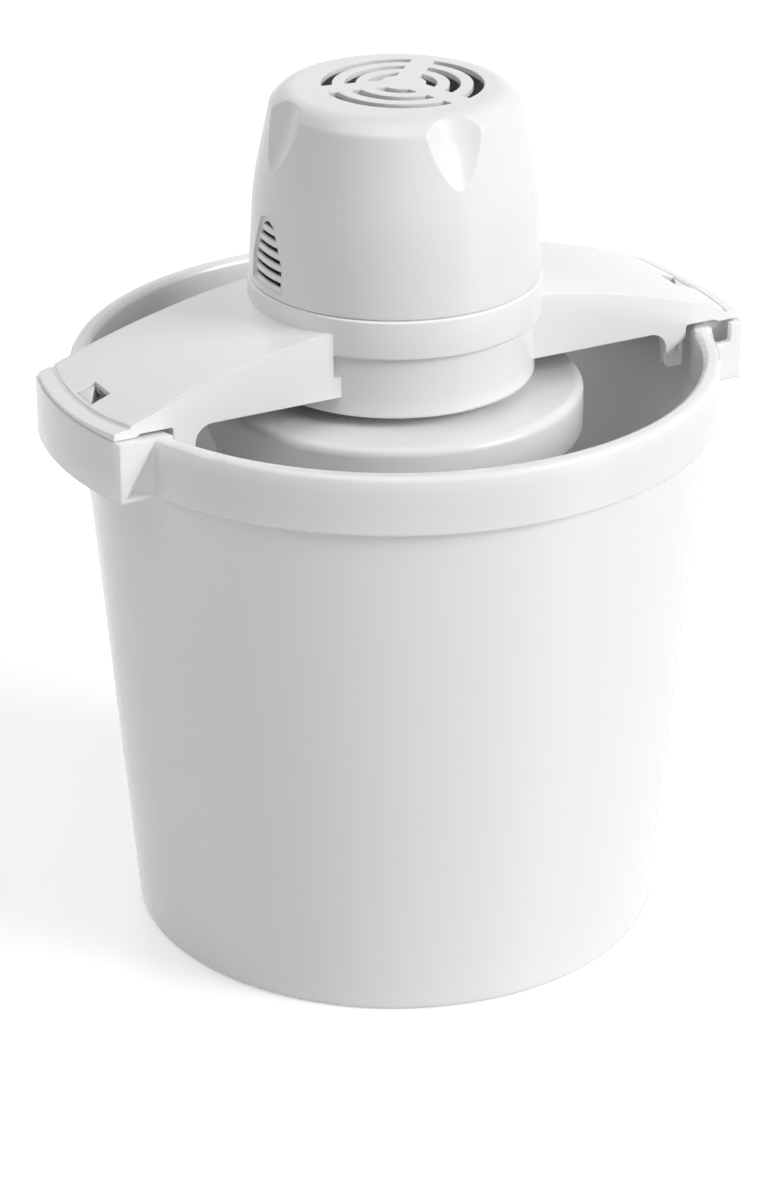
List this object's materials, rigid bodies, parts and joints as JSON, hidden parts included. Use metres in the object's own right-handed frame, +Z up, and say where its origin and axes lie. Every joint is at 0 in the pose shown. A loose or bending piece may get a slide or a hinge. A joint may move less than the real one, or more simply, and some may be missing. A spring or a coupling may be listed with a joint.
{
  "type": "ice cream freezer",
  "caption": "Bucket ice cream freezer: a tapered pail with two lugs, a geared motor head on two arms, and a canister that turns round a fixed dasher.",
  "frame": {"origin": "centre of the bucket's foot, on the surface it stands on", "axes": "+X along the right arm, +Y to the back where the cord gland is, +Z up"},
  "size_m": [0.3106, 0.28, 0.3794],
  "materials": {
    "bucket": "moulded, glossy",
    "housing": "moulded, glossy",
    "shell": "moulded, satin gloss",
    "lid": "moulded, glossy",
    "canister": "spun, brushed round",
    "dasher": "moulded, matt",
    "scraper": "moulded, matt",
    "gear_nylon": "moulded nylon",
    "bush": "moulded acetal",
    "gland": "moulded, matt white",
    "steel": "ground",
    "rotor": "laminated steel with cast aluminium bars",
    "lamination": "stacked electrical steel",
    "bobbin": "moulded nylon",
    "winding": "enamelled copper wire",
    "bronze": "sintered bronze",
    "fan": "moulded, matt"
  },
  "bodies": {
    "bucket_body": {"bucket": "bucket"},
    "head": {"motor_base": "housing", "motor_shell": "shell", "cord_gland": "gland", "output_bush": "bush", "stem_socket": "gear_nylon", "gear_pins": "steel", "gear_plate": "steel", "gear_plate_screws": "steel", "motor_spacers": "steel", "motor_screws": "steel", "stator_core": "lamination", "coil_bobbin": "bobbin", "field_coil": "winding", "lower_bracket": "steel", "upper_bracket": "steel", "lower_bearing": "bronze", "upper_bearing": "bronze", "shell_screws": "steel"},
    "rotor": {"rotor_core": "rotor", "motor_shaft": "steel", "motor_pinion": "bronze", "cooling_fan": "fan"},
    "first_wheel": {"first_gear": "gear_nylon"},
    "second_wheel": {"second_gear": "gear_nylon"},
    "drive": {"drive_socket": "gear_nylon"},
    "dasher_body": {"dasher": "dasher", "scraper_blades": "scraper"},
    "can": {"canister": "canister"},
    "lid": {"canister_lid": "lid"}
  },
  "joints": [
    {"name": "head_lift", "type": "slide", "parent": "bucket_body", "child": "head", "axis": [0, 0, 1], "range_m": [0, 0.36]},
    {"name": "dasher_lift", "type": "slide", "parent": "bucket_body", "child": "dasher_body", "axis": [0, 0, 1], "range_m": [0, 0.27]},
    {"name": "canister_spin", "type": "hinge", "parent": "dasher_body", "child": "can", "pos_m": [0, 0, 0.27], "axis": [0, 0, 1], "continuous": true},
    {"name": "lid_lift", "type": "slide", "parent": "can", "child": "lid", "axis": [0, 0, 1], "range_m": [0, 0.054]},
    {"name": "rotor_spin", "type": "hinge", "parent": "head", "child": "rotor", "pos_m": [0, 0, 0.27], "axis": [0, 0, 1], "continuous": true},
    {"name": "first_gear_spin", "type": "hinge", "parent": "head", "child": "first_wheel", "pos_m": [-0.0288, 0, 0.27], "axis": [0, 0, 1], "continuous": true},
    {"name": "second_gear_spin", "type": "hinge", "parent": "head", "child": "second_wheel", "pos_m": [-0.02008, 0.02555, 0.27], "axis": [0, 0, 1], "continuous": true},
    {"name": "drive_spin", "type": "hinge", "parent": "head", "child": "drive", "pos_m": [0, 0, 0.27], "axis": [0, 0, 1], "continuous": true}
  ],
  "couplings": [
    {"joint": "dasher_lift", "follows": "head_lift", "ratio": 0.75},
    {"joint": "lid_lift", "follows": "head_lift", "ratio": 0.15},
    {"joint": "first_gear_spin", "follows": "rotor_spin", "ratio": -0.2},
    {"joint": "second_gear_spin", "follows": "rotor_spin", "ratio": 0.05},
    {"joint": "drive_spin", "follows": "rotor_spin", "ratio": -0.016667},
    {"joint": "canister_spin", "follows": "rotor_spin", "ratio": -0.016667}
  ]
}
